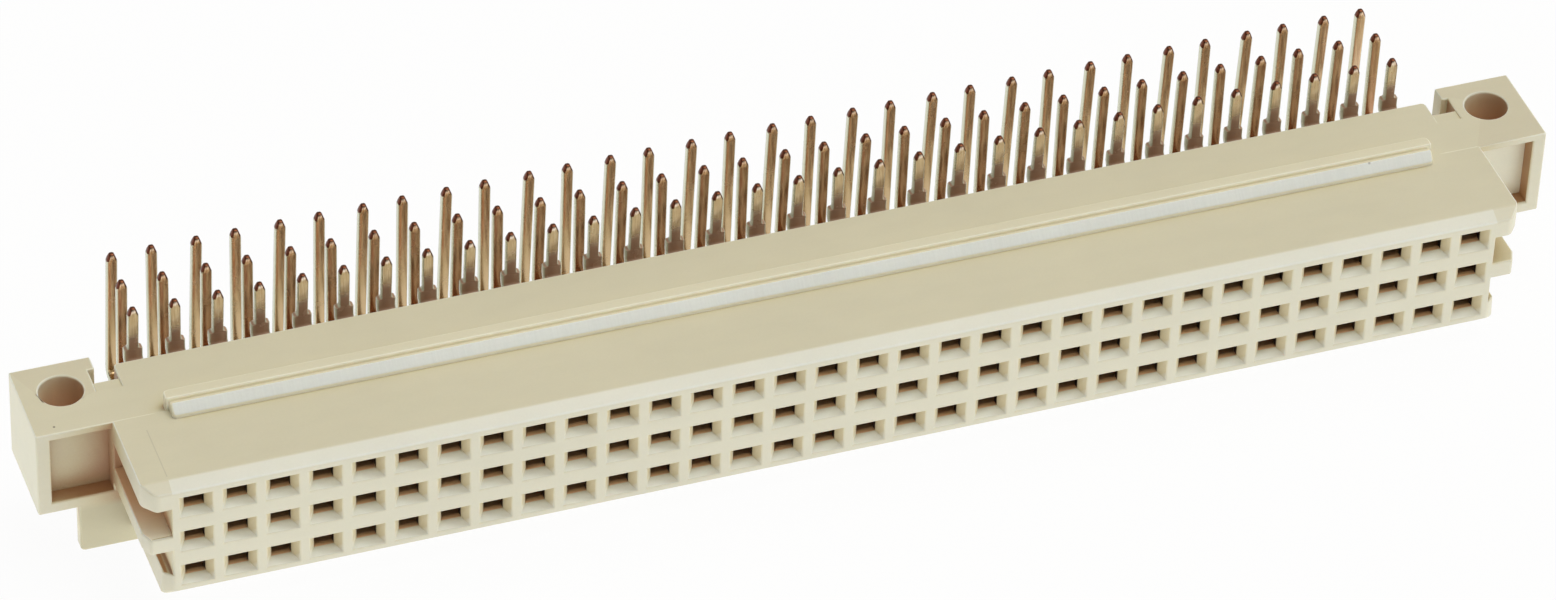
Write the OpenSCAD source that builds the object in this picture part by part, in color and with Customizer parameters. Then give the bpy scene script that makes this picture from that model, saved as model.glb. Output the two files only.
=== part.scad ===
// Right-angle female board connector. One moulded housing holds three rows of stamped contacts,
// whose tails stand up behind it and go through the board that lies on the fixing ears.
// Lengths are in millimetres. X runs along the connector, Y from the mating face to the tails, Z up.
// The origin is the middle of the footprint, on the surface that the rear block stands on.

/* [Contact grid] */
// Contacts in each of the three rows
columns = 32; // [4:2:32]
// Distance from one contact to the next, along a row and from row to row
pitch = 2.54; // [2.4:0.02:3]

/* [Sockets] */
// Width of a socket's mouth
mouth_w = 2; // [1.6:0.05:2.2]
// Height of a socket's mouth
mouth_h = 1.56; // [1.2:0.04:2]
// Depth of the funnel that guides a pin in
funnel_d = 0.55; // [0.3:0.05:0.9]
// Width of the straight throat behind the funnel
throat_w = 1.18; // [0.9:0.02:1.4]
// Height of the throat
throat_h = 0.84; // [0.7:0.02:1.1]
// Length of the throat
throat_d = 0.34; // [0.2:0.02:0.8]
// Height of the chamber that holds a contact
chamber_h = 1.3; // [1.14:0.02:1.7]

/* [Front block] */
// Depth from the mating face to the fixing ears
front_d = 6.62; // [5:0.02:8]
// Top of the block above the middle row of sockets
front_top = 4.15; // [4.1:0.01:5]
// Underside of the block below the middle row
front_bottom = 4.05; // [3.8:0.05:4.8]
// Side wall beyond the last column of contacts
side_wall = 1.43; // [1.2:0.01:3]
// Reach of the top flange and the middle rib beyond the side wall
flange_reach = 1.62; // [1:0.02:2.4]
// Thickness of the top flange
flange_t = 1.65; // [1:0.05:2.2]
// Height of the groove under the top flange
upper_groove_h = 1.95; // [1:0.05:2.5]
// Thickness of the middle rib
mid_rib_t = 1.15; // [0.6:0.05:1.5]
// Height of the groove under the middle rib
lower_groove_h = 1.85; // [1:0.05:2.2]
// Reach of the foot beyond the side wall, at its underside
foot_reach = 0.62; // [0.4:0.02:1.4]
// How much narrower the foot is at its top, on each side
foot_taper = 0.12; // [0:0.02:0.3]

/* [Leading edges] */
// Depth of the slope along the top edge of the mating face
top_slope_d = 0.82; // [0.3:0.02:1.4]
// Height of that slope
top_slope_h = 0.4; // [0.2:0.02:0.8]
// Depth of the slope along the bottom edge
bottom_slope_d = 0.45; // [0.2:0.05:1]
// Height of the bottom slope
bottom_slope_h = 0.4; // [0.2:0.02:0.8]
// Cut across each front corner of the top flange
flange_cut = 0.7; // [0.2:0.05:0.9]
// Depth of the cut at the front of the middle rib
mid_cut_d = 0.8; // [0.2:0.02:1.2]
// Width of that cut
mid_cut_w = 0.36; // [0.2:0.02:0.9]
// Depth of the cut at the front of the foot
foot_cut_d = 0.6; // [0.2:0.05:1]

/* [Rear block] */
// Depth of the rear block behind the front one
rear_d = 4.98; // [4:0.02:7]
// Seat of the board above the middle row, on the rear block and the ears
seat_h = 4.03; // [3.9:0.01:4.06]
// Underside of the rear block below the middle row
base_h = 5.25; // [4.9:0.05:6.5]
// Side of the rear block beyond the last column of contacts
rear_side = 1.63; // [1.2:0.01:2.4]
// Radius of its rear corners
corner_r = 0.3; // [0.1:0.05:0.8]

/* [Top rib and strip] */
// Distance from the side wall to the end of the rib
rib_inset = 1.55; // [0.5:0.05:4]
// Thickness of the rib that stops the board's edge
rib_t = 0.8; // [0.4:0.05:1.2]
// Height of the rib above the seat
rib_h = 0.97; // [0.6:0.01:1.4]
// Width of the groove between the rib and the strip
strip_groove_w = 0.35; // [0.2:0.01:0.6]
// Depth of that groove below the rib's top
strip_groove_d = 0.2; // [0.1:0.01:0.4]
// Width of the sloping strip
strip_w = 0.54; // [0.3:0.02:0.9]
// Height of the strip's rear edge above the front block
strip_back_h = 0.8; // [0.5:0.01:1.1]
// Height of the strip's front edge above the front block
strip_front_h = 0.21; // [0.1:0.01:0.4]
// Distance from the end of the rib to the end of the strip
strip_inset = 0.2; // [0.1:0.02:1]
// Radius of the rib's rear corners
rib_r = 0.3; // [0.1:0.05:0.4]
// Radius of the strip's front corners
strip_r = 0.2; // [0.05:0.05:0.3]

/* [Fixing ears] */
// Distance from the last column to the fixing hole
hole_reach = 5.08; // [4.6:0.02:7]
// Diameter of the fixing hole
hole_d = 2.6; // [2:0.1:3]
// Distance from the front of the ear to the hole
hole_back = 3.56; // [3.2:0.02:4.2]
// Distance from the hole to the ear's outer side
ear_side = 2.45; // [2:0.05:4]
// Depth of the ear from front to back
ear_d = 6.03; // [5.7:0.01:8]
// Underside of the ear below the middle row
ear_bottom = 1.9; // [1.5:0.1:3.5]
// Depth of the pocket in the front of the ear
pocket_d = 1; // [0.3:0.1:1.5]
// Outer wall of the pocket
pocket_side_t = 0.85; // [0.5:0.05:1.4]
// Wall above the pocket
pocket_top_t = 0.5; // [0.3:0.05:1]
// Wall below the pocket
pocket_floor_t = 0.78; // [0.4:0.02:1.2]
// Length of the bridge between the ear and the rear block
bridge_l = 3.8; // [2:0.1:4.2]
// Gap between the rear block and the ear, behind the bridge
ear_gap = 1.5; // [0.8:0.05:1.7]
// Reach of the hook into the gap, at the back of the ear
hook_reach = 0.4; // [0.1:0.05:0.6]
// Length of the hook
hook_l = 1.15; // [0.5:0.05:1.4]
// Length of the shallow relief on the bridge
relief_l = 0.87; // [0.4:0.01:1.2]
// Depth of the relief
relief_d = 0.1; // [0.05:0.01:0.3]

/* [Lower wall] */
// Thickness of the wall below the ears
apron_t = 0.8; // [0.5:0.05:1.5]
// Distance from the ear's outer side to the end of the wall
apron_inset = 2.4; // [1:0.1:4]
// Radius of the wall's lower corners
apron_r = 0.3; // [0.1:0.05:0.8]

/* [Contacts] */
// Thickness of the strip that the contacts are stamped from
sheet_t = 0.48; // [0.3:0.02:0.6]
// Width of a tail
tail_w = 0.62; // [0.4:0.02:0.8]
// Height of the tails above the seat
tail_h = 2.44; // [2:0.02:4]
// Width of a tail's tip
tip_w = 0.28; // [0.1:0.02:0.36]
// Length of the taper at the tip
tip_h = 0.47; // [0.2:0.01:0.9]
// Distance from the rear block to the first row of tails
tail_back = 1.64; // [1.2:0.02:2.5]
// Width of the top row's leads
strong_w = 1.1; // [0.9:0.02:1.5]
// Distance from the seat down to the shoulder where the top row's leads narrow
shoulder_drop = 0.48; // [0.2:0.02:0.6]
// Outer radius of the bend
bend_r = 0.7; // [0.3:0.05:0.9]
// Width of the spring at its tip
spring_w = 1.2; // [1:0.02:1.4]
// Gap between the two beams of the spring
beam_gap = 0.5; // [0.3:0.02:0.6]
// Distance from the throat to the tips of the beams
spring_back = 0.25; // [0.1:0.05:0.8]
// Length of the slot between the beams
slot_l = 4.6; // [3:0.1:4.8]
// Width across the rear barbs, which grip the housing
grip_w = 1.66; // [1.5:0.02:1.8]
// Length of the solid part between the slot and the barbs
grip_l = 2.3; // [1:0.1:3]
// Clearance between a barb and the side of its chamber
grip_gap = 0.02; // [0:0.01:0.1]

/* [Hidden] */
row_names = ["a", "b", "c"];
rows = len(row_names);
pair = 2;
shell_colour = [0.82, 0.79, 0.68];
metal_colour = [0.66, 0.52, 0.33];
// How far a cutting shape runs past the faces that it opens
cut = 1;
// Sides of a quarter turn, in rounded corners and in the bend of a contact
corner_steps = 3;
bend_steps = 2;
$fn = 48;

// Half lengths from the middle of the connector
last_column = (columns - 1) * pitch / 2;
side_x = last_column + side_wall;
flange_x = side_x + flange_reach;
foot_x = side_x + foot_reach;
rear_x = last_column + rear_side;
rib_x = side_x - rib_inset;
hole_x = last_column + hole_reach;
ear_x = hole_x + ear_side;
apron_x = ear_x - apron_inset;

// Depths from the mating face
throat_y = funnel_d + throat_d;
rear_y = front_d + rear_d;
hole_y = front_d + hole_back;
spring_y = throat_y + spring_back;
slot_y = spring_y + slot_l;
barb_y = slot_y + grip_l;
overall_d = rear_y + tail_back + (rows - 1) * pitch + sheet_t / 2;

// Heights from the middle row
flange_z = front_top - flange_t;
rib_top_z = flange_z - upper_groove_h;
rib_bottom_z = rib_top_z - mid_rib_t;
foot_z = rib_bottom_z - lower_groove_h;
tip_z = seat_h + tail_h;

chamber_w = grip_w + 2 * grip_gap;

function pad2(n) = n < 10 ? str("0", n) : str(n);
function column_x(c) = (c - 1) * pitch - last_column;
function row_z(r) = ((rows - 1) / 2 - r) * pitch;
function tail_y(r) = rear_y + tail_back + r * pitch;
function pair_name(r, c) = str("contacts_", row_names[r], "_", pad2(c), "_", pad2(c + pair - 1));

// Points of a quarter turn about a centre, from one angle on by 90 degrees
function quarter(centre, rx, ry, from, steps) =
    [for (i = [0:steps]) centre + [rx * cos(from + 90 * i / steps), ry * sin(from + 90 * i / steps)]];

// Puts what is drawn from the mating face and the middle row into the frame of the part
module placed() {
    translate([0, -overall_d / 2, base_h])
        children();
}

// Stretches an outline drawn in X and Z from the plane y = from to the plane y = to
module along_y(from, to) {
    translate([0, to, 0])
        rotate([90, 0, 0])
            linear_extrude(to - from)
                children();
}

// Stretches an outline drawn in Y and Z to both sides of the middle plane
module along_x(width) {
    rotate([90, 0, 90])
        linear_extrude(width, center = true)
            children();
}

// Stretches an outline drawn in X and Y from one height to another
module along_z(from, to) {
    translate([0, 0, from])
        linear_extrude(to - from)
            children();
}

module both_ends() {
    for (side = [0, 1])
        mirror([side, 0, 0])
            children();
}

// The hole for one contact: a funnel, a short throat and the chamber, open at the rear.
// Its outlines in plan and from the side are crossed, which mitres the corners of the funnel.
module socket() {
    intersection() {
        along_z(-pitch / 2, pitch / 2)
            socket_outline(mouth_w, throat_w, chamber_w);
        rotate([0, 90, 0])
            along_z(-pitch / 2, pitch / 2)
                socket_outline(mouth_h, throat_h, chamber_h);
    }
}

module socket_outline(mouth, throat, chamber) {
    polygon([
        [mouth / 2, -cut], [mouth / 2, 0], [throat / 2, funnel_d], [throat / 2, throat_y],
        [chamber / 2, throat_y], [chamber / 2, rear_y + cut],
        [-chamber / 2, rear_y + cut], [-chamber / 2, throat_y],
        [-throat / 2, throat_y], [-throat / 2, funnel_d], [-mouth / 2, 0], [-mouth / 2, -cut]
    ]);
}

module sockets() {
    for (r = [0:rows - 1])
        for (c = [1:columns])
            translate([column_x(c), 0, row_z(r)])
                socket();
}

// A slab across the front block, with its front corners cut in plan
module band(half, cut_w, cut_d) {
    polygon([
        [half, front_d], [half, cut_d], [half - cut_w, 0],
        [cut_w - half, 0], [-half, cut_d], [-half, front_d]
    ]);
}

// The foot seen from the front. Its ends lean in towards the top.
module foot_outline() {
    foot_top_x = foot_x - foot_taper;
    polygon([
        [-foot_x, -front_bottom], [foot_x, -front_bottom], [foot_top_x, foot_z], [-foot_top_x, foot_z]
    ]);
}

// The block behind the mating face. Flange, rib and foot slide in the guides of the mating half.
module front_block() {
    difference() {
        union() {
            along_z(-front_bottom, front_top)
                band(side_x, 0, 0);
            along_z(flange_z, front_top)
                band(flange_x, flange_cut, flange_cut);
            along_z(rib_bottom_z, rib_top_z)
                band(flange_x, mid_cut_w, mid_cut_d);
            intersection() {
                along_y(0, front_d)
                    foot_outline();
                along_z(-front_bottom, foot_z)
                    band(foot_x, foot_reach, foot_cut_d);
            }
        }
        edge_slope(front_top, top_slope_d, top_slope_h);
        mirror([0, 0, 1])
            edge_slope(front_bottom, bottom_slope_d, bottom_slope_h);
    }
}

// What is cut away along one long edge of the mating face
module edge_slope(edge_z, depth, height) {
    run = cut * depth / height;
    along_x(2 * flange_x + 2 * cut)
        polygon([[-run, edge_z - height - cut], [depth + run, edge_z + cut], [-run, edge_z + cut]]);
}

module rear_outline() {
    polygon(concat(
        [[-rear_x, front_d], [rear_x, front_d]],
        quarter([rear_x - corner_r, rear_y - corner_r], corner_r, corner_r, 0, corner_steps),
        quarter([corner_r - rear_x, rear_y - corner_r], corner_r, corner_r, 90, corner_steps)
    ));
}

// The block behind the front one. The leads of the contacts leave through its rear face.
module rear_block() {
    along_z(-base_h, seat_h)
        rear_outline();
}

// The rib that the edge of the board meets, with its rear corners rounded
module top_rib() {
    rib_y = front_d + rib_t;
    along_z(seat_h, seat_h + rib_h)
        polygon(concat(
            [[-rib_x, front_d], [rib_x, front_d]],
            quarter([rib_x - rib_r, rib_y - rib_r], rib_r, rib_r, 0, corner_steps),
            quarter([rib_r - rib_x, rib_y - rib_r], rib_r, rib_r, 90, corner_steps)
        ));
}

// The sloping strip where the moulding was fed, and the floor of the groove behind it.
// Its outline from the side is crossed with its plan, which rounds the front corners.
module gate_strip() {
    strip_x = rib_x - strip_inset;
    back_y = front_d - strip_groove_w;
    front_y = back_y - strip_w;
    back_z = front_top + strip_back_h;
    intersection() {
        along_x(2 * strip_x)
            polygon([
                [front_y, front_top], [front_y, front_top + strip_front_h], [back_y, back_z],
                [back_y, back_z - strip_groove_d], [front_d, back_z - strip_groove_d], [front_d, front_top]
            ]);
        along_z(front_top, back_z)
            polygon(concat(
                [[strip_x, front_d], [-strip_x, front_d]],
                quarter([strip_r - strip_x, front_y + strip_r], strip_r, strip_r, 180, corner_steps),
                quarter([strip_x - strip_r, front_y + strip_r], strip_r, strip_r, 270, corner_steps)
            ));
    }
}

// Plan of the right ear: bridge, body and the hook at the back of the gap
module ear_outline() {
    gap_x = rear_x + ear_gap;
    back_y = front_d + ear_d;
    bridge_y = front_d + bridge_l;
    polygon([
        [rear_x, front_d], [ear_x, front_d], [ear_x, back_y],
        [gap_x - hook_reach, back_y], [gap_x - hook_reach, back_y - hook_l],
        [gap_x, back_y - hook_l], [gap_x, bridge_y], [rear_x, bridge_y]
    ]);
}

// The right fixing ear. Its top is the seat of the board, and a screw passes down through it.
module ear() {
    pocket_x = ear_x - pocket_side_t;
    difference() {
        along_z(-ear_bottom, seat_h)
            ear_outline();
        translate([flange_x, front_d - cut, pocket_floor_t - ear_bottom])
            cube([pocket_x - flange_x, pocket_d + cut, seat_h - pocket_top_t + ear_bottom - pocket_floor_t]);
        translate([hole_x, hole_y, -ear_bottom - cut])
            cylinder(h = seat_h + ear_bottom + 2 * cut, d = hole_d);
        translate([rear_x, front_d + bridge_l - relief_l, seat_h - relief_d])
            cube([ear_gap, relief_l + cut, relief_d + cut]);
    }
}

// The thin wall that closes the guide grooves at the back and stands below the ears
module apron() {
    along_y(front_d, front_d + apron_t)
        polygon(concat(
            [[apron_x, -ear_bottom], [-apron_x, -ear_bottom]],
            quarter([apron_r - apron_x, apron_r - base_h], apron_r, apron_r, 180, corner_steps),
            quarter([apron_x - apron_r, apron_r - base_h], apron_r, apron_r, 270, corner_steps)
        ));
}

// The moulding
module housing() {
    color(shell_colour)
        difference() {
            union() {
                front_block();
                rear_block();
                top_rib();
                gate_strip();
                apron();
                both_ends()
                    ear();
            }
            sockets();
        }
}

// The front of a contact in plan: two beams that close on a pin, and the barbs behind them
module spring_outline() {
    polygon([
        [spring_w / 2, spring_y], [grip_w / 2, barb_y], [-grip_w / 2, barb_y], [-spring_w / 2, spring_y],
        [-beam_gap / 2, spring_y], [-beam_gap / 2, slot_y], [beam_gap / 2, slot_y], [beam_gap / 2, spring_y]
    ]);
}

// The lead from the barbs to the top of its bend, seen from the side
module lead_outline(r) {
    front_y = tail_y(r) - sheet_t / 2;
    back_y = tail_y(r) + sheet_t / 2;
    polygon(concat(
        [[barb_y, -sheet_t / 2]],
        quarter([back_y - bend_r, bend_r - sheet_t / 2], bend_r, bend_r, 270, bend_steps),
        [[back_y, bend_r], [front_y, bend_r], [front_y, sheet_t / 2], [barb_y, sheet_t / 2]]
    ));
}

// The upright tail seen from behind, from the top of the bend to the tip
module tail_outline(r, lead_w) {
    top_z = tip_z - row_z(r);
    shoulder_z = seat_h - shoulder_drop - row_z(r);
    shoulder = lead_w > tail_w ? [[lead_w / 2, shoulder_z], [tail_w / 2, shoulder_z]] : [];
    right_side = concat(
        [[lead_w / 2, bend_r]], shoulder, [[tail_w / 2, top_z - tip_h], [tip_w / 2, top_z]]
    );
    last = len(right_side) - 1;
    polygon(concat(
        right_side,
        [for (i = [last:-1:0]) [-right_side[i][0], right_side[i][1]]]
    ));
}

// One stamped contact, drawn on the axis of its socket
module contact(r) {
    lead_w = r == 0 ? strong_w : tail_w;
    along_z(-sheet_t / 2, sheet_t / 2)
        spring_outline();
    along_x(lead_w)
        lead_outline(r);
    along_y(tail_y(r) - sheet_t / 2, tail_y(r) + sheet_t / 2)
        tail_outline(r, lead_w);
}

// Neighbouring contacts of one row, in row r from column c on
module contact_pair(r, c) {
    color(metal_colour)
        for (i = [0:pair - 1])
            translate([column_x(c + i), 0, row_z(r)])
                contact(r);
}

placed() housing();
for (r = [0:rows - 1])
    for (c = [1:pair:columns])
        placed() contact_pair(r, c);
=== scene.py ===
"""Looks of the right-angle board connector.

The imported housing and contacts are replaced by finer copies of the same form: moulded edges
become round, bends and tips of the contacts get their real curves, and each surface gets a
procedural material. Sizes are in metres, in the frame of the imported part. Only the places in
materials are in millimetres.
"""

import math
import random

import bmesh
import bpy
from mathutils import Matrix, Vector


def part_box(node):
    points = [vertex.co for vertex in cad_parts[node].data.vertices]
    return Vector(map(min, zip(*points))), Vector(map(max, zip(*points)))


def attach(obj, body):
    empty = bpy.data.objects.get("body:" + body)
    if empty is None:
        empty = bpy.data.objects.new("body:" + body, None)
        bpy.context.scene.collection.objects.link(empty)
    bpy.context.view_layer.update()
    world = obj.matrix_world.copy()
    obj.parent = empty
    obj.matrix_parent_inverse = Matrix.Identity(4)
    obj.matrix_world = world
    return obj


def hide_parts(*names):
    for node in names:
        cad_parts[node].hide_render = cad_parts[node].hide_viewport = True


MM = 0.001

# Contact grid
PITCH = 2.54 * MM
PAIR = 2

# Places on the housing: X from the middle, D back from the mating face, and Z from the base
REAR_END_X = 39.80 * MM
SIDE_X = 40.80 * MM
COLUMN_X = 42.2 * MM
FLANGE_X = 42.42 * MM
RELIEF_X = 43.4 * MM
HOLE_X = 44.45 * MM
FUNNEL_D = 0.55 * MM
FLANGE_CORNER_D = 0.70 * MM
SLOPE_D = 0.82 * MM
STRIP_FRONT_D = 5.73 * MM
STRIP_BACK_D = 6.27 * MM
FRONT_D = 6.62 * MM
POCKET_BACK_D = 7.62 * MM
HOLE_D = 10.18 * MM
REAR_FACE_D = 11.60 * MM
MIDDLE_ROW_Z = 5.25 * MM
FLANGE_Z = 7.75 * MM
SEAT_Z = 9.28 * MM
FRONT_TOP_Z = 9.40 * MM
HOLE_R = 1.30 * MM

# Half the size of the field of sockets
GRID_X = SIDE_X - 0.2 * MM
GRID_Z = 1.35 * PITCH

# Slack in finding those places, and how far the normal of a straight face follows its axis
SLACK = 0.03 * MM
STRAIGHT = 0.9

# Widths of the rounded edges
EDGE_MAIN = 0.13 * MM
EDGE_RIB = 0.12 * MM
EDGE_STRIP = 0.09 * MM
EDGE_TOP = 0.10 * MM
EDGE_HOLE = 0.13 * MM
EDGE_MOUTH = 0.07 * MM
EDGE_REAR_OPENING = 0.06 * MM
EDGE_THROAT = 0.04 * MM
EDGE_STEP = 0.11 * MM
EDGE_CORNER = 0.30 * MM
EDGE_SEGMENTS = 3

# Which edges are rounded, and which stay sharp in the shading
SHARP_ANGLE = math.radians(35)
SLOPE_ANGLE = math.radians(20)
LONG_EDGE = 5.0 * MM
SMOOTH_ANGLE = math.radians(50)

# Clean-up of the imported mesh
SAME_PLACE = 1e-7
SAME_PLANE = math.radians(0.5)

# Contact stamping
SHEET_T = 0.48 * MM
TAIL_W = 0.62 * MM
STRONG_W = 1.10 * MM
TIP_W = 0.28 * MM
TIP_T = 0.30 * MM
TIP_H = 0.47 * MM
TIP_BEVEL_H = 0.26 * MM
TIP_ROUND = 0.05 * MM
BEND_R = 0.70 * MM
BEND_STEPS = 10
SHOULDER_DROP = 0.48 * MM
SHOULDER_ROUND = 0.04 * MM
SHOULDER_FILLET = 0.16 * MM
SHOULDER_STEPS = 5
RING_GAP = 0.001 * MM
STAMP_EDGE = 0.08 * MM
SPRING_W = 1.20 * MM
BEAM_GAP = 0.50 * MM
SPRING_D = 1.14 * MM
SLOT_D = 5.74 * MM
BARB_D = 8.04 * MM
GRIP_W = 1.66 * MM

# Small differences between the tails: sideways shift of each row, and lean of each tip
ROW_SHIFT = {"a": 0.05 * MM, "b": 0.06 * MM, "c": 0.15 * MM}
ROW_LEAN = {"a": 0.03 * MM, "b": 0.05 * MM, "c": 0.08 * MM}
LEAN_SPREAD = (0.7, 1.3)
RANDOM_SEED = 7

# Places in materials, in millimetres: where the front block's top ends and the flange's slope ends,
# and the groove's floor from front to back, over which its painted shade deepens
FRONT_Y = -2.66
FLANGE_SLOPE_Y = -8.4
GROOVE_FLOOR_Y = (-9.0, -5.6)

# Marks on the moulding, in millimetres. The painted highlight along the step fades in over a range of X
EAR_SPECK = (-45.65, -2.05, 9.28)
EAR_SPECK_SIZE = 0.09
STRIP_NICK = (35.0, -3.0, 10.05)
STRIP_NICK_SIZE = 0.15
WITNESS_X = -40.75
WITNESS_Y = (-8.2, -4.0)
WITNESS_WIDTH = 0.07
STEP_HIGHLIGHT_X = (39.1, 39.7)
STEP_HIGHLIGHT_WIDTH = 0.20

# Patches of painted shade and painted light on the moulding, as ranges of X, Y and Z in millimetres
GROOVE_BACK_SHADE = ((40.9, 42.5), (FRONT_Y - 0.1, FRONT_Y + 0.1), (5.7, 7.8))
LOW_WALL_SHADE = ((40.9, 46.0), (FRONT_Y - 0.1, FRONT_Y + 0.1), (-0.1, 3.3))
EAR_SIDE_LIGHT = ((46.85, 47.1), (-10.0, 10.0), (0.0, 9.2))
STRIP_END_UNSHADED = ((38.6, 40.0), (-4.2, -2.4), (9.2, 9.5))
PATCH_BORDER = 0.25

# Ranges that most values of a noise lie in, and about half of them
NOISE_RANGE = (0.3, 0.7)
NOISE_MIDDLE = (0.35, 0.65)

# Shade: how far a surface looks for cover, and the share of light that it sees in deep shade
# and in full light, on the outside, in the funnels and in the fixing holes
SHADE_REACH = 5.0 * MM
SHADE_SAMPLES = 16
SHADE_OPEN = (0.35, 0.90)
SHADE_FUNNEL = (0.15, 0.60)
SHADE_BORE = (0.10, 0.60)

# Roughness of the moulding on most faces, in its narrow grooves and throats, and where it is sawn
SATIN = 0.46
MATT = 0.50
SAWN = 0.62

# Light, as radiance: 1 lights a white surface to white
SHEET_LIGHT = (1.48, 1.54, 1.66, 1)
SHEET_UNEVENNESS = 0.36
SIDE_LIGHT = (0.20, 0.195, 0.18, 1)
OVERHEAD_LIGHT = (0.92, 0.905, 0.85, 1)
SUN_STRENGTH = 1.0
SUN_COLOUR = (1.0, 0.985, 0.94)
SUN_ANGLE = math.radians(45)
FLOOR_GLOW = 0.94

# Where the light comes from, and the lean of a surface's look towards the sheet
OVERHEAD_FROM = (0.33, 0.10, 0.94)
TOWARDS_SHEET = (0.38, 0.0, -0.55)

# Soft edges of the lights: between two heights, or two cosines of the angle to the overhead light
SHEET_EDGE = (0.05, 0.32)
OVERHEAD_EDGE = (0.45, 0.88)
MIRRORED_EDGE = (0.10, 0.30)

# Half the side of the floor
FLOOR_HALF = 1.5

# Camera fitted to the photograph: the focal length is in pixels, and the sensor in millimetres
IMAGE_W = 1556
SENSOR_W = 36.0
FOCAL_PX = 7313.3
CAMERA_PLACE = Vector((-120.404, -308.513, 282.151)) * MM
CAMERA_RIGHT = Vector((0.94191, -0.33422, 0.03324))
CAMERA_DOWN = Vector((-0.19041, -0.61287, -0.76690))
CAMERA_FORWARD = Vector((0.27668, 0.71602, -0.64091))
CAMERA_CLIP = (0.01, 10)


# Colours


def srgb(red, green, blue):
    """A colour given as 0 to 255, as a linear RGBA tuple."""

    def linear(value):
        value /= 255
        return value / 12.92 if value <= 0.04045 else ((value + 0.055) / 1.055) ** 2.4

    return (linear(red), linear(green), linear(blue), 1.0)


def tones(*colours):
    """The tones of a moulding on flat faces, as a painted highlight on tilted faces, as painted shade
    and as painted deep shade. One colour alone serves for all four."""
    return [srgb(*colour) for colour in colours * (4 // len(colours))]


# Tones by zone: the second tone is a painted highlight, the last two are painted shade. The sawn strip
# front and its groove, the throats' floors and the groove's floor are brighter than the shell as
# is whiter than the shell in its own tone and further as painted light. The strip's foot, the rib, its
# painted light, and the bores keep lighter shade tones as painted light. The throats are dark as
# painted shade, and the funnels' flat faces are darker as painted shade.
SHELL = tones((211, 204, 177), (230, 230, 219), (210, 198, 157), (178, 136, 98))
STRIP = tones((230, 233, 229), (230, 233, 229), (229, 230, 220), (224, 220, 204))
STRIP_FOOT = tones((236, 230, 204))
RIB = tones((219, 212, 184), (242, 238, 218), (229, 225, 198), (230, 222, 194))
RIB_FRONT = tones((252, 246, 222))
RIB_GROOVE = tones((226, 218, 192))
FUNNEL = tones((205, 191, 151), (236, 234, 215), (214, 203, 170), (190, 152, 112))
THROAT = tones((50, 32, 22))
THROAT_FLOOR = tones((246, 197, 148))
GROOVE_FLOOR = tones((255, 250, 228))
BORE = tones((211, 204, 177), (230, 230, 219), (230, 210, 176), (216, 174, 134))

# Colours of marks, of the step's painted highlight and of the sides' painted reflection, as linear RGBA
MARK = (0.13, 0.10, 0.07, 1)
STEP_HIGHLIGHT = (0.80, 0.77, 0.62, 1)
SIDE_SHEEN = (0.62, 0.62, 0.47, 1)


# Materials


class Nodes:
    """The node tree of a material or a world, with short calls for the nodes used here."""

    def __init__(self, owner, output_kind="ShaderNodeOutputMaterial"):
        owner.use_nodes = True
        self.owner = owner
        self.tree = owner.node_tree
        self.tree.nodes.clear()
        self.output = self.tree.nodes.new(output_kind)

    def surface(self, shader):
        self.put(self.output.inputs["Surface"], shader.outputs[0])
        return self.owner

    def add(self, kind, inputs=(), **settings):
        node = self.tree.nodes.new(kind)
        for key, value in settings.items():
            setattr(node, key, value)
        for key, value in dict(inputs).items():
            self.put(node.inputs[key], value)
        return node

    def put(self, socket, value):
        if isinstance(value, bpy.types.NodeSocket):
            self.tree.links.new(value, socket)
        else:
            socket.default_value = value

    def math(self, operation, *values, clamp=False):
        node = self.add("ShaderNodeMath", enumerate(values), operation=operation, use_clamp=clamp)
        return node.outputs[0]

    def product(self, first, *factors):
        for factor in factors:
            first = self.math("MULTIPLY", first, factor)
        return first

    def vector(self, operation, a, b, output="Vector"):
        return self.add("ShaderNodeVectorMath", {0: a, 1: b}, operation=operation).outputs[output]

    def axes(self, vector):
        """The X, Y and Z of a vector."""
        return list(self.add("ShaderNodeSeparateXYZ", {0: vector}).outputs)

    def mix(self, factor, a, b, blend="MIX"):
        inputs = {0: factor, 6: a, 7: b}
        return self.add("ShaderNodeMix", inputs, data_type="RGBA", blend_type=blend).outputs[2]

    def grey(self, value):
        return self.add("ShaderNodeCombineColor", {0: value, 1: value, 2: value}).outputs[0]

    def ramp(self, value, low, high, to_low=0.0, to_high=1.0):
        inputs = {"Value": value, "From Min": low, "From Max": high, "To Min": to_low, "To Max": to_high}
        return self.add("ShaderNodeMapRange", inputs).outputs[0]

    def vary(self, noise, middle, spread):
        """A noise's value as a number within a spread round a middle."""
        return self.ramp(noise, *NOISE_RANGE, middle - spread, middle + spread)

    def normal(self):
        return self.add("ShaderNodeNewGeometry").outputs["Normal"]

    def place(self, stretch=(1, 1, 1)):
        """Object coordinates in millimetres, stretched along the axes."""
        coordinates = self.add("ShaderNodeTexCoord").outputs["Object"]
        scale = [1 / MM * s for s in stretch]
        return self.add("ShaderNodeMapping", {"Vector": coordinates, "Scale": scale}).outputs[0]

    def noise(self, scale, detail=2.0, roughness=0.5, stretch=(1, 1, 1)):
        """Noise with so many features to the millimetre."""
        inputs = {"Vector": self.place(stretch), "Scale": scale, "Detail": detail, "Roughness": roughness}
        return self.add("ShaderNodeTexNoise", inputs).outputs[0]

    def bump(self, height, distance, strength):
        inputs = {"Height": height, "Distance": distance, "Strength": strength}
        return self.add("ShaderNodeBump", inputs).outputs[0]


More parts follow.
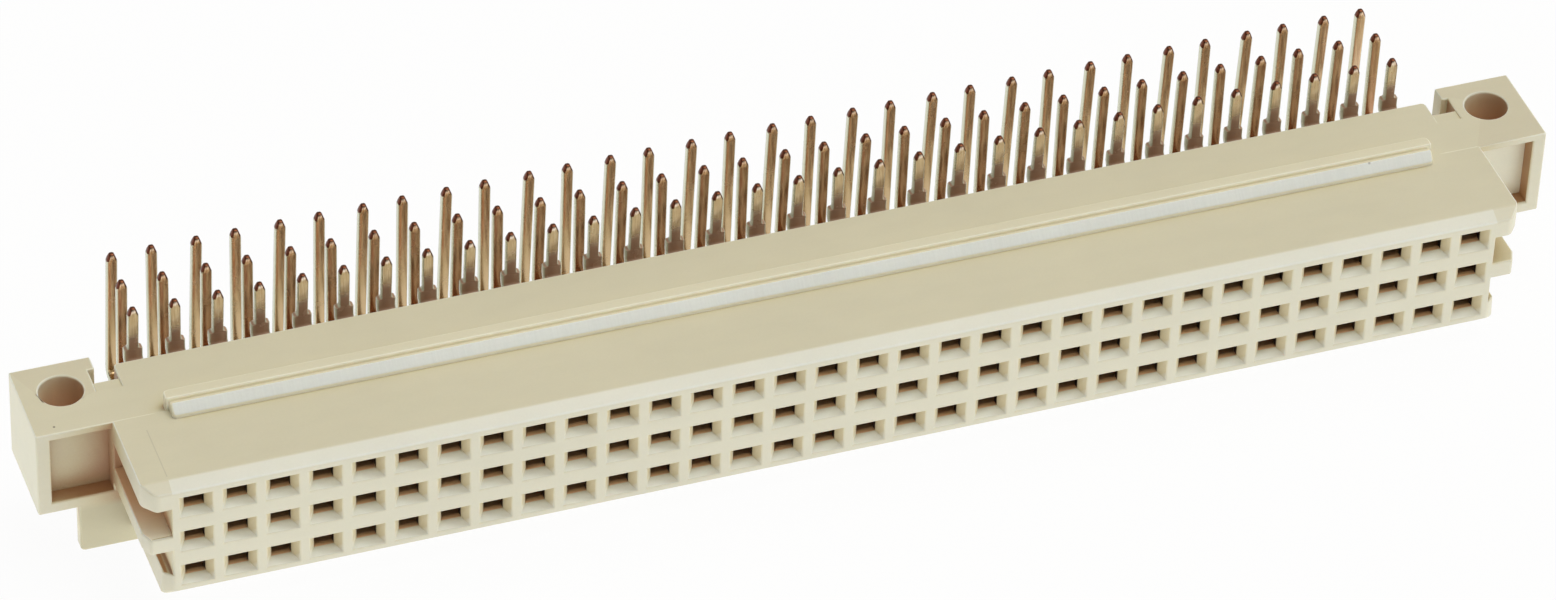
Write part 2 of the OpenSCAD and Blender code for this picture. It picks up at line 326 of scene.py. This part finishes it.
def plastic(name, colours, roughness=SATIN, shade_range=SHADE_OPEN, streaks=0.0, marks_and_painted_light=None):
    """Glass-filled moulding: satin, faintly speckled, with a painted highlight on rounded edges and on
    the front slope, and painted shade, warmer, then brown, the less of the sky and the ground it sees.
    The marks and painted light are a function of the nodes that returns pairs of a mask and a colour."""
    n = Nodes(bpy.data.materials.new(name))
    speckle = n.noise(scale=7.0, roughness=0.6)
    flow = n.noise(scale=1.1, detail=3, stretch=(0.35, 1, 1))
    colour = shaded_colour(n, colours, shade_range)
    for mask, overlay_colour in marks_and_painted_light(n) if marks_and_painted_light else ():
        colour = n.mix(mask, colour, overlay_colour)
    colour = n.mix(1.0, colour, n.grey(uneven_tone(n, speckle, flow, streaks)), "MULTIPLY")
    grain = n.math("ADD", n.product(n.noise(scale=14.0), 0.6), n.product(flow, 0.4))
    shader = n.add(
        "ShaderNodeBsdfPrincipled",
        {
            "Base Color": colour,
            "Roughness": n.vary(speckle, roughness, 0.05),
            "Normal": n.bump(grain, 0.012 * MM, 0.5),
            "IOR": 1.5,
            "Subsurface Weight": 0.12,
            "Subsurface Radius": (1.0, 0.7, 0.4),
            "Subsurface Scale": 0.35 * MM,
        },
    )
    return n.surface(shader)


def uneven_tone(n, speckle, flow, streaks):
    """Brightness of the moulding, which varies a little round 1."""
    cloud = n.noise(scale=0.12, detail=3)
    tone = n.math("ADD", n.vary(cloud, 1.0, 0.020), n.vary(speckle, 0.0, 0.012))
    tone = n.math("ADD", tone, n.vary(flow, 0.0, 0.012))
    if streaks:
        scratch = n.noise(scale=9.0, stretch=(1, 0.05, 0.05))
        tone = n.math("ADD", tone, n.ramp(scratch, *NOISE_MIDDLE, -streaks, streaks))
    return tone


def shaded_colour(n, colours, shade_range):
    """The moulding's tones: a painted highlight by how far a surface is tilted, and painted shade by how
    much light it sees.
    """
    flat, tilted, dim, dark = colours
    normal = n.normal()
    colour = n.mix(tilted_faces(n, normal), flat, tilted)
    seen = light_seen(n, normal)
    low, high = shade_range
    middle = (low + high) / 2
    colour = n.mix(n.ramp(seen, middle, high, 1.0, 0.0), colour, dim)
    return n.mix(n.ramp(seen, low, middle, 1.0, 0.0), colour, dark)


def tilted_faces(n, normal):
    """Share of the painted highlight: 1 on rounded edges and less on slopes, where the slope of the
    flanges has 0.5 less.
    """
    level = n.axes(normal)[2]
    upright = n.math("SQRT", n.math("SUBTRACT", 1.0, n.product(level, level)))
    tilt = n.ramp(n.product(upright, level), 0.15, 0.50)
    x, y, _ = n.axes(n.place())
    aside = n.math("GREATER_THAN", n.math("ABSOLUTE", x), SIDE_X / MM - 0.05)
    in_front = n.math("LESS_THAN", y, FLANGE_SLOPE_Y)
    return n.math("SUBTRACT", tilt, n.product(aside, in_front, 0.5), clamp=True)


def light_seen(n, normal):
    """Share of the sky or of the ground, whichever is more, that a surface sees."""
    outwards = n.vector("ADD", normal, TOWARDS_SHEET)
    upwards = n.add("ShaderNodeCombineXYZ", enumerate(OVERHEAD_FROM)).outputs[0]
    ground, sky = (
        n.add(
            "ShaderNodeAmbientOcclusion",
            {"Distance": SHADE_REACH, "Normal": direction},
            samples=SHADE_SAMPLES,
            only_local=True,
        ).outputs["AO"]
        for direction in (outwards, upwards)
    )
    return n.math("MAXIMUM", ground, sky)


def speck(n, place, size):
    """A speck on the surface round one place."""
    away = n.vector("DISTANCE", n.place(), place, "Value")
    return n.ramp(away, 0.6 * size, size, 0.8, 0.0)


def distance_from(n, value, middle):
    return n.math("ABSOLUTE", n.math("SUBTRACT", value, middle))


def thin_line(n, value, middle, width, strength):
    """A line with soft sides, where a coordinate has one value."""
    return n.ramp(distance_from(n, value, middle), 0.3 * width, 0.6 * width, strength, 0.0)


def witness_line(n):
    """The mould's faint line along Y on the top of the left flange."""
    x, y, z = n.axes(n.place())
    low, high = WITNESS_Y
    within = n.math("COMPARE", y, (low + high) / 2, (high - low) / 2)
    on_top = n.math("GREATER_THAN", z, FRONT_TOP_Z / MM - SLACK / MM)
    return n.product(thin_line(n, x, WITNESS_X, WITNESS_WIDTH, 0.18), within, on_top)


def step_highlight(n):
    """A painted highlight along X on the edge where the front block's top drops to the seat."""
    x, y, z = n.axes(n.place())
    aside = n.ramp(n.math("ABSOLUTE", x), *STEP_HIGHLIGHT_X)
    on_top = n.math("GREATER_THAN", z, SEAT_Z / MM - SLACK / MM)
    return n.product(thin_line(n, y, FRONT_Y, STEP_HIGHLIGHT_WIDTH, 0.9), aside, on_top)


def patch(n, ranges):
    """What lies in a box, at both ends of the part, with soft borders."""
    x, y, z = n.axes(n.place())
    masks = []
    for value, (low, high) in zip((n.math("ABSOLUTE", x), y, z), ranges):
        half = (high - low) / 2
        border = min(PATCH_BORDER, half / 2)
        away = distance_from(n, value, (low + high) / 2)
        masks.append(n.ramp(away, half - border, half + border, 1.0, 0.0))
    return n.product(*masks)


def facing_left(n, strength):
    """Faces that look towards -X."""
    return n.ramp(n.axes(n.normal())[0], 0.1, -0.9, 0.0, strength)


def shell_marks_and_painted_light(n):
    """The speck and the mould's fine line, the painted highlight along the step, and patches of painted
    shade and painted light.
    """
    return [
        (speck(n, EAR_SPECK, EAR_SPECK_SIZE), MARK),
        (witness_line(n), MARK),
        (step_highlight(n), STEP_HIGHLIGHT),
        # Painted shade at the back of the upper groove and on the low wall's front, painted light on the
        # ears'
        # outer sides, and the plain shell tone beside the strip's end, which takes the painted shade out
        # there.
        (patch(n, GROOVE_BACK_SHADE), srgb(178, 136, 98)),
        (patch(n, LOW_WALL_SHADE), srgb(197, 188, 152)),
        (patch(n, EAR_SIDE_LIGHT), srgb(221, 214, 184)),
        (patch(n, STRIP_END_UNSHADED), SHELL[0]),
    ]


def strip_marks(n):
    """The nick in the strip."""
    return [(speck(n, STRIP_NICK, STRIP_NICK_SIZE), MARK)]


def funnel_painted_shade(n):
    """Painted shade: the darker left-facing walls of the funnels."""
    return [(facing_left(n, 0.4), srgb(186, 162, 114))]


def groove_painted_shade(n):
    """Painted shade on the groove's floor, warmer towards its back."""
    return [(n.ramp(n.axes(n.place())[1], *GROOVE_FLOOR_Y), srgb(234, 202, 164))]


def bore_painted_shade(n):
    """Painted shade: the brown left-facing wall of the fixing holes."""
    return [(facing_left(n, 0.6), srgb(150, 96, 62))]


def moulding_materials():
    """The material of each zone of the moulding, in the order of the piece's material slots. The zones
    differ mostly in painted light and painted shade.
    """
    return {
        "shell": plastic("beige_moulding", SHELL, marks_and_painted_light=shell_marks_and_painted_light),
        "strip": plastic("sawn_gate", STRIP, SAWN, streaks=0.015, marks_and_painted_light=strip_marks),
        "strip_foot": plastic("strip_foot", STRIP_FOOT, MATT),
        "rib": plastic("rib", RIB, marks_and_painted_light=strip_marks),
        "rib_front": plastic("rib_front", RIB_FRONT, MATT),
        "rib_groove": plastic("rib_groove", RIB_GROOVE, MATT),
        "funnel": plastic("socket_funnels", FUNNEL, shade_range=SHADE_FUNNEL, marks_and_painted_light=funnel_painted_shade),
        "throat": plastic("socket_throats", THROAT, MATT),
        "throat_floor": plastic("throat_floors", THROAT_FLOOR, MATT),
        "groove_floor": plastic("groove_floor", GROOVE_FLOOR, marks_and_painted_light=groove_painted_shade),
        "bore": plastic("bore_wall", BORE, shade_range=SHADE_BORE, marks_and_painted_light=bore_painted_shade),
    }


def plated_metal(name, bright, dull, lower_reflection=None, below=0.0, border=1.0, matt=0.0, side_tone_and_sheen=SIDE_SHEEN):
    """Stamped strip with thin plating: drawn lines along it, and sides in a tone of their own, which on
    the plated metal is a painted reflection. The part below a height in millimetres can take a painted
    reflection as its colour, and be more or less matt."""
    n = Nodes(bpy.data.materials.new(name))
    uneven = n.ramp(n.noise(scale=0.9, detail=3, roughness=0.55), *NOISE_MIDDLE)
    lines = n.noise(scale=14.0, stretch=(1, 1, 0.06))
    colour = n.mix(n.ramp(lines, *NOISE_RANGE, 0.0, 0.75), bright, dull)
    metallic = 1.0
    if lower_reflection:
        wave = n.vary(n.noise(scale=1.3, detail=1), 0.0, 0.14)
        level = n.math("ADD", n.axes(n.place())[2], wave)
        is_below = n.ramp(level, below - border, below + border, 0.95, 0.0)
        colour = n.mix(is_below, colour, lower_reflection)
        metallic = n.math("SUBTRACT", 1.0, n.product(is_below, matt))
    aside = n.math("ABSOLUTE", n.axes(n.normal())[0])
    colour = n.mix(n.ramp(aside, 0.35, 0.75), colour, side_tone_and_sheen)
    shader = n.add(
        "ShaderNodeBsdfPrincipled",
        {
            "Base Color": colour,
            "Metallic": metallic,
            "Roughness": n.ramp(uneven, 0.0, 1.0, 0.20, 0.28),
            "Normal": n.bump(lines, 0.004 * MM, 0.4),
        },
    )
    return n.surface(shader)


def contact_metals():
    """The plated metal of each row, whose colours are a painted reflection of what the row faces. The
    lower part of the tails has a painted reflection as its colour, and in the top row it is duller too."""
    return {
        "a": plated_metal(
            "plated_contact_a", srgb(246, 230, 206), srgb(204, 170, 138),
            lower_reflection=srgb(171, 136, 112), below=9.80, border=0.25, matt=0.85,
        ),
        "b": plated_metal(
            "plated_contact_b", srgb(236, 202, 167), srgb(184, 146, 114),
            lower_reflection=srgb(194, 150, 116), below=8.4, border=1.6,
        ),
        "c": plated_metal(
            "plated_contact_c", srgb(238, 208, 174), srgb(186, 150, 118),
            lower_reflection=srgb(202, 176, 136), below=7.2, border=1.4,
        ),
    }


def bare_metal():
    """The stamping's own metal, where it is sheared."""
    return plated_metal("sheared_tip", srgb(124, 76, 54), srgb(88, 50, 34), side_tone_and_sheen=srgb(104, 58, 40))


def white_floor():
    """Seen as white, with the shadow of the part kept faintly."""
    n = Nodes(bpy.data.materials.new("floor_white"))
    lit = n.add("ShaderNodeBsdfDiffuse", {"Color": (0.9, 0.9, 0.9, 1)})
    glow = n.add("ShaderNodeEmission", {"Color": (1, 1, 1, 1), "Strength": 1.0})
    path = n.add("ShaderNodeLightPath").outputs
    seen = n.math("ADD", path["Is Camera Ray"], path["Is Glossy Ray"], clamp=True)
    seen = n.product(seen, FLOOR_GLOW)
    return n.surface(n.add("ShaderNodeMixShader", {0: seen, 1: lit.outputs[0], 2: glow.outputs[0]}))


# Meshes


def new_piece(name, mesh, materials):
    piece = bpy.data.objects.new(name, mesh)
    bpy.context.scene.collection.objects.link(piece)
    for material in materials:
        mesh.materials.append(material)
    return piece


def bake_modifiers(piece):
    """Applies the modifiers of a piece to its mesh."""
    bpy.context.view_layer.update()
    graph = bpy.context.evaluated_depsgraph_get()
    mesh = bpy.data.meshes.new_from_object(piece.evaluated_get(graph))
    piece.modifiers.clear()
    old = piece.data
    piece.data = mesh
    bpy.data.meshes.remove(old)


def finish_surface(piece):
    """Smooth shading that keeps flat faces flat."""
    for polygon in piece.data.polygons:
        polygon.use_smooth = True
    piece.data.set_sharp_from_angle(angle=SMOOTH_ANGLE)
    normals = piece.modifiers.new("normals", "WEIGHTED_NORMAL")
    normals.keep_sharp = True
    normals.weight = 100
    bake_modifiers(piece)


def close_band(bm, low, high):
    """Faces between two rings of the same number of corners."""
    for i in range(len(low)):
        j = (i + 1) % len(low)
        bm.faces.new((low[i], low[j], high[j], high[i]))


def skin(bm, rings):
    """Joins rings of corners into a closed surface."""
    for low, high in zip(rings, rings[1:]):
        close_band(bm, low, high)
    bm.faces.new(list(reversed(rings[0])))
    bm.faces.new(rings[-1])


# Housing


def near(value, target, slack=SLACK):
    return abs(value - target) < slack


def in_grid(x, z):
    """Whether a place is among the sockets, as seen from the front."""
    return abs(x) < GRID_X and abs(z - MIDDLE_ROW_Z) < GRID_Z


def from_hole(x, depth):
    """Distance from the axis of the nearer fixing hole."""
    return math.hypot(abs(x) - HOLE_X, depth - HOLE_D)


def is_rounded(edge):
    """Sharp convex edges, and the long shallow ones at the slopes of the front block."""
    if not (edge.is_manifold and edge.is_convex):
        return False
    angle = edge.calc_face_angle()
    return angle > SHARP_ANGLE or angle > SLOPE_ANGLE and edge.calc_length() > LONG_EDGE


def grid_edge(depth):
    """Width of the round on an edge among the sockets."""
    if near(depth, 0):
        return EDGE_MOUTH
    if near(depth, FUNNEL_D):
        return EDGE_THROAT
    return EDGE_REAR_OPENING if near(depth, REAR_FACE_D) else 0.0


def housing_edge(edge, face_y):
    """Width of the round on one convex edge of the housing, by where it is."""
    start, end = (vert.co for vert in edge.verts)
    middle = (start + end) / 2
    x, depth, z = abs(middle.x), middle.y - face_y, middle.z
    if in_grid(x, z):
        return grid_edge(depth)
    if from_hole(x, depth) < HOLE_R + 0.1 * MM:
        return EDGE_HOLE
    if z > FRONT_TOP_Z + 0.02 * MM:
        return EDGE_RIB if depth > FRONT_D - 0.02 * MM else EDGE_STRIP
    is_upright = near(start.x, end.x) and near(start.y, end.y)
    if is_upright and x > SIDE_X and depth < SLOPE_D + 0.01 * MM and z > FLANGE_Z:
        return EDGE_CORNER
    at_step = near(depth, FRONT_D, 0.1 * MM) and z > SEAT_Z - 0.05 * MM
    is_short = edge.calc_length() < 2.0 * MM
    in_relief = near(z, SEAT_Z, 0.05 * MM) and is_short and x < HOLE_X - HOLE_R
    if at_step or in_relief:
        return EDGE_STEP
    return EDGE_TOP if near(z, FRONT_TOP_Z) else EDGE_MAIN


def clean_copy(node):
    """The CAD node's mesh as a bmesh, with flat faces whole again."""
    bm = bmesh.new()
    bm.from_mesh(node.data)
    bmesh.ops.remove_doubles(bm, verts=bm.verts, dist=SAME_PLACE)
    bmesh.ops.dissolve_limit(bm, angle_limit=SAME_PLANE, verts=bm.verts, edges=bm.edges)
    return bm


def join_corner_and_slope(bm, face_y):
    """Lets the flange's corner start where the front slope starts, so that their rounds can meet."""
    for vert in bm.verts:
        at_corner = near(abs(vert.co.x), FLANGE_X) and near(vert.co.y - face_y, FLANGE_CORNER_D)
        if at_corner and vert.co.z > FLANGE_Z - 0.01 * MM:
            vert.co.y = face_y + SLOPE_D
            if vert.co.z > SEAT_Z:
                vert.co.z = FRONT_TOP_Z
    bmesh.ops.remove_doubles(bm, verts=bm.verts, dist=SAME_PLACE)


def rib_zone(depth, normal):
    """Zone of a face above the front block's top."""
    on_strip = STRIP_FRONT_D - 0.02 * MM < depth < STRIP_BACK_D + 0.02 * MM
    if on_strip and normal.y < -0.3 and abs(normal.x) < 0.2:
        return "strip" if normal.z > 0.4 else "strip_foot"
    if near(depth, FRONT_D, 0.05 * MM) and normal.y < -STRAIGHT:
        return "rib_front"
    if STRIP_BACK_D < depth < FRONT_D and normal.z > STRAIGHT:
        return "rib_groove"
    return "rib"


def socket_zone(depth, normal):
    """Zone of a face inside a socket."""
    if depth <= FUNNEL_D + 0.5 * EDGE_THROAT:
        return "funnel"
    return "throat_floor" if normal.z > 0.5 else "throat"


def zone_of(centre, normal, face_y):
    """Zone of one face of the moulding. The upright faces at the ends of the rear block and the
    back of the right ear's pocket take the rib's paler tones as painted light."""
    x, depth, z = abs(centre.x), centre.y - face_y, centre.z
    if z > FRONT_TOP_Z + SLACK:
        return rib_zone(depth, normal)
    behind_mouth = EDGE_MOUTH < depth < REAR_FACE_D - EDGE_REAR_OPENING
    if in_grid(x, z) and behind_mouth and normal.y > -STRAIGHT:
        return socket_zone(depth, normal)
    if from_hole(x, depth) < HOLE_R + 0.02 * MM:
        return "bore"
    above_middle_rib = MIDDLE_ROW_Z < z < FLANGE_Z
    if centre.x < -SIDE_X and depth < FRONT_D and above_middle_rib and normal.z > STRAIGHT:
        return "groove_floor"
    if REAR_END_X < x < RELIEF_X and depth > HOLE_D and abs(normal.z) < 0.7:
        is_inner_side = normal.x * centre.x < 0 and x > COLUMN_X
        return "shell" if is_inner_side else "rib"
    in_pocket = centre.x > FLANGE_X and POCKET_BACK_D - 0.1 * MM < depth < HOLE_D
    return "rib" if in_pocket and normal.y < -STRAIGHT else "shell"


def build_housing(node, materials):
    """The moulding with rounded edges, in place of the CAD node."""
    bm = clean_copy(node)
    face_y = min(v.co.y for v in bm.verts)
    join_corner_and_slope(bm, face_y)
    weights = bm.edges.layers.float.new("bevel_weight_edge")
    for edge in bm.edges:
        if is_rounded(edge):
            edge[weights] = housing_edge(edge, face_y) / EDGE_CORNER
    mesh = bpy.data.meshes.new("moulding")
    bm.to_mesh(mesh)
    bm.free()
    piece = new_piece("moulding", mesh, materials.values())
    bevel = piece.modifiers.new("edges", "BEVEL")
    bevel.limit_method = "WEIGHT"
    bevel.width = EDGE_CORNER
    bevel.segments = EDGE_SEGMENTS
    bevel.use_clamp_overlap = False
    bake_modifiers(piece)
    finish_surface(piece)
    zones = list(materials)
    for polygon in piece.data.polygons:
        polygon.material_index = zones.index(zone_of(polygon.center, polygon.normal, face_y))
    return piece


# Contacts


def section(bm, centre, across, half_w, half_t):
    """Eight corners of a stamped section: X is its width, and across is its thickness direction."""
    chamfer = min(STAMP_EDGE, 0.45 * half_w, 0.45 * half_t)
    corners = [
        (half_w, half_t - chamfer), (half_w - chamfer, half_t),
        (chamfer - half_w, half_t), (-half_w, half_t - chamfer),
        (-half_w, chamfer - half_t), (chamfer - half_w, -half_t),
        (half_w - chamfer, -half_t), (half_w, chamfer - half_t),
    ]
    return [bm.verts.new(centre + Vector((u, 0, 0)) + across * v) for u, v in corners]


def bend_stations(start_y, lead_z, tail_y, half_w):
    """Stations along the lead and the bend: place, thickness direction, half width and half
    thickness."""
    half_t = SHEET_T / 2
    radius = BEND_R - half_t
    up, back = Vector((0, 0, 1)), Vector((0, 1, 0))
    stations = [(Vector((0, start_y, lead_z)), up, half_w, half_t)]
    for i in range(BEND_STEPS + 1):
        turn = math.pi / 2 * i / BEND_STEPS
        y = tail_y - radius + radius * math.sin(turn)
        z = lead_z + radius - radius * math.cos(turn)
        stations.append((Vector((0, y, z)), up * math.cos(turn) - back * math.sin(turn), half_w, half_t))
    return stations


def shoulder_profile():
    """Height, half width and half thickness where the wide lead of the top row narrows."""
    half_t = SHEET_T / 2
    wide, narrow = STRONG_W / 2, TAIL_W / 2
    shoulder_z = SEAT_Z - SHOULDER_DROP
    profile = [(shoulder_z - SHOULDER_ROUND, wide, half_t), (shoulder_z, wide - SHOULDER_ROUND, half_t)]
    for i in range(SHOULDER_STEPS + 1):
        turn = math.pi / 2 * i / SHOULDER_STEPS
        width = narrow + SHOULDER_FILLET * (1 - math.sin(turn))
        height = shoulder_z + SHOULDER_FILLET * (1 - math.cos(turn)) + RING_GAP
        profile.append((height, width, half_t))
    return profile


def tip_profile(tip_z):
    """Height, half width and half thickness where a tail tapers."""
    at_bevel = TIP_W + (TAIL_W - TIP_W) * TIP_BEVEL_H / TIP_H
    below_tip = [
        (TIP_H + 0.04 * MM, TAIL_W, SHEET_T),
        (TIP_H - 0.04 * MM, TAIL_W - 0.03 * MM, SHEET_T),
        (TIP_BEVEL_H, at_bevel, SHEET_T),
        (TIP_ROUND, TIP_W + 0.03 * MM, TIP_T + 0.05 * MM),
        (0.35 * TIP_ROUND, TIP_W - 0.02 * MM, TIP_T - 0.02 * MM),
        (0.0, TIP_W - 0.10 * MM, TIP_T - 0.10 * MM),
    ]
    return [(tip_z - below, width / 2, thickness / 2) for below, width, thickness in below_tip]


def add_lead_and_tail(bm, row, start_y, lead_z, tail_y, tip_z):
    """The contact behind its barbs, as one swept section."""
    is_strong = row == "a"
    half_w = (STRONG_W if is_strong else TAIL_W) / 2
    stations = bend_stations(start_y, lead_z, tail_y, half_w)
    profile = (shoulder_profile() if is_strong else []) + tip_profile(tip_z)
    for z, width, thickness in profile:
        stations.append((Vector((0, tail_y, z)), Vector((0, -1, 0)), width, thickness))
    skin(bm, [section(bm, *station) for station in stations])


def add_spring(bm, z, face_y):
    """The two beams and the barbs, flat in the sheet."""
    outline = [
        (SPRING_W / 2, SPRING_D), (GRIP_W / 2, BARB_D),
        (-GRIP_W / 2, BARB_D), (-SPRING_W / 2, SPRING_D),
        (-BEAM_GAP / 2, SPRING_D), (-BEAM_GAP / 2, SLOT_D),
        (BEAM_GAP / 2, SLOT_D), (BEAM_GAP / 2, SPRING_D),
    ]
    low, high = (
        [bm.verts.new((x, face_y + depth, z + side * SHEET_T / 2)) for x, depth in outline]
        for side in (-1, 1)
    )
    skin(bm, [low, high])


def contact_mesh(row, box_low, box_high, face_y, leans):
    """Neighbouring contacts of one row, in the box of the CAD node that they replace."""
    lead_z = box_low.z + SHEET_T / 2
    tail_y = box_high.y - SHEET_T / 2
    middle_x = (box_low.x + box_high.x) / 2
    bend_top = lead_z + BEND_R
    whole = bmesh.new()
    for i, lean in enumerate(leans):
        bm = bmesh.new()
        add_spring(bm, lead_z, face_y)
        add_lead_and_tail(bm, row, face_y + BARB_D, lead_z, tail_y, box_high.z)
        for vert in bm.verts:
            share = max(0.0, (vert.co.z - bend_top) / (box_high.z - bend_top))
            vert.co.x += lean * share
        x = middle_x + (i - (PAIR - 1) / 2) * PITCH
        bmesh.ops.translate(bm, vec=(x, 0, 0), verts=bm.verts)
        bmesh.ops.recalc_face_normals(bm, faces=bm.faces)
        part = bpy.data.meshes.new("part")
        bm.to_mesh(part)
        bm.free()
        whole.from_mesh(part)
        bpy.data.meshes.remove(part)
    mesh = bpy.data.meshes.new("contacts")
    whole.to_mesh(mesh)
    whole.free()
    return mesh


def mark_bare(mesh, tip_z, spring_end_y):
    """The spring, and the sheared sides and the flat end of each tip, take the second material."""
    for polygon in mesh.polygons:
        is_spring = polygon.center.y < spring_end_y
        on_tip = polygon.center.z > tip_z - TIP_H and polygon.normal.z > 0.2
        is_sheared = abs(polygon.normal.x) > 0.45 or polygon.center.z > tip_z - TIP_ROUND
        if is_spring or on_tip and is_sheared:
            polygon.material_index = 1


def build_contacts(nodes, metals, bare, face_y):
    """One piece for each CAD node of contacts."""
    random.seed(RANDOM_SEED)
    for name in sorted(nodes):
        if not name.startswith("contacts_"):
            continue
        row, first = name.split("_")[1], int(name.split("_")[2])
        leans = [
            ROW_SHIFT[row] - ROW_LEAN[row] * (-1) ** (first + i) * random.uniform(*LEAN_SPREAD)
            for i in range(PAIR)
        ]
        low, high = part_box(name)
        mesh = contact_mesh(row, low, high, face_y, leans)
        piece = new_piece(name.replace("contacts", "tails"), mesh, [metals[row], bare])
        finish_surface(piece)
        mark_bare(piece.data, high.z, face_y + BARB_D)
        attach(piece, "root")
        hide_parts(name)


# Stage


def build_floor():
    mesh = bpy.data.meshes.new("floor")
    corners = [(x * FLOOR_HALF, y * FLOOR_HALF, 0) for x, y in ((-1, -1), (1, -1), (1, 1), (-1, 1))]
    mesh.from_pydata(corners, [], [(0, 1, 2, 3)])
    floor = new_piece("floor", mesh, [white_floor()])
    floor.visible_diffuse = False
    floor.visible_shadow = False


def build_world():
    """Light by direction: a bright sheet below, stronger in front on the right and behind on the
    left, dim sides, and a soft overhead light. The camera sees plain white, and so do glossy rays
    up to a little above the horizon."""
    world = bpy.data.worlds.new("studio")
    bpy.context.scene.world = world
    n = Nodes(world, "ShaderNodeOutputWorld")
    direction = n.add("ShaderNodeTexCoord").outputs["Generated"]
    x, y, height = n.axes(direction)
    uneven = n.math("ADD", n.product(x, y, -2.0 * SHEET_UNEVENNESS), 1.0)
    sheet = n.mix(1.0, SHEET_LIGHT, n.grey(uneven), "MULTIPLY")
    overhead = n.vector("DOT_PRODUCT", direction, OVERHEAD_FROM, "Value")
    colour = n.mix(n.ramp(height, *SHEET_EDGE, 1.0, 0.0), SIDE_LIGHT, sheet)
    colour = n.mix(n.ramp(overhead, *OVERHEAD_EDGE), colour, OVERHEAD_LIGHT)
    light = n.add("ShaderNodeBackground", {0: colour, 1: 1.0})
    white = n.add("ShaderNodeBackground", {0: (1, 1, 1, 1), 1: 1.0})
    path = n.add("ShaderNodeLightPath").outputs
    mirrored = n.product(path["Is Glossy Ray"], n.ramp(height, *MIRRORED_EDGE, 1.0, 0.0))
    seen = n.math("MAXIMUM", path["Is Camera Ray"], mirrored)
    n.surface(n.add("ShaderNodeMixShader", {0: seen, 1: light.outputs[0], 2: white.outputs[0]}))


def build_sun():
    """A very soft sun in the middle of the overhead light."""
    data = bpy.data.lights.new("overhead", "SUN")
    data.energy = SUN_STRENGTH
    data.angle = SUN_ANGLE
    data.color = SUN_COLOUR
    lamp = bpy.data.objects.new("overhead", data)
    lamp.rotation_euler = Vector(OVERHEAD_FROM).to_track_quat("Z", "Y").to_euler()
    bpy.context.scene.collection.objects.link(lamp)


def build_camera():
    data = bpy.data.cameras.new("camera")
    data.sensor_width = SENSOR_W
    data.lens = FOCAL_PX * SENSOR_W / IMAGE_W
    data.clip_start, data.clip_end = CAMERA_CLIP
    camera = bpy.data.objects.new("camera", data)
    axes = Matrix((CAMERA_RIGHT, -CAMERA_DOWN, -CAMERA_FORWARD)).transposed()
    camera.matrix_world = Matrix.Translation(CAMERA_PLACE) @ axes.to_4x4()
    bpy.context.scene.collection.objects.link(camera)
    bpy.context.scene.camera = camera


# The scene

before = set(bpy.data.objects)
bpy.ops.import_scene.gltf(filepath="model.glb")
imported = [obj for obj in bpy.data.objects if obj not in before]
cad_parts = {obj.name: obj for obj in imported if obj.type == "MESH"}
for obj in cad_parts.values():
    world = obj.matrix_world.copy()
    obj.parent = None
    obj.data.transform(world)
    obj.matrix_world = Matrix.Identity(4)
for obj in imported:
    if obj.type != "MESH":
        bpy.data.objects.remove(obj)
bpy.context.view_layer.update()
mating_face_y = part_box("housing")[0].y

housing = build_housing(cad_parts["housing"], moulding_materials())
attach(housing, "root")
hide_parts("housing")
build_contacts(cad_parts, contact_metals(), bare_metal(), mating_face_y)

build_floor()
build_world()
build_sun()
build_camera()
bpy.context.scene.view_settings.view_transform = "Standard"
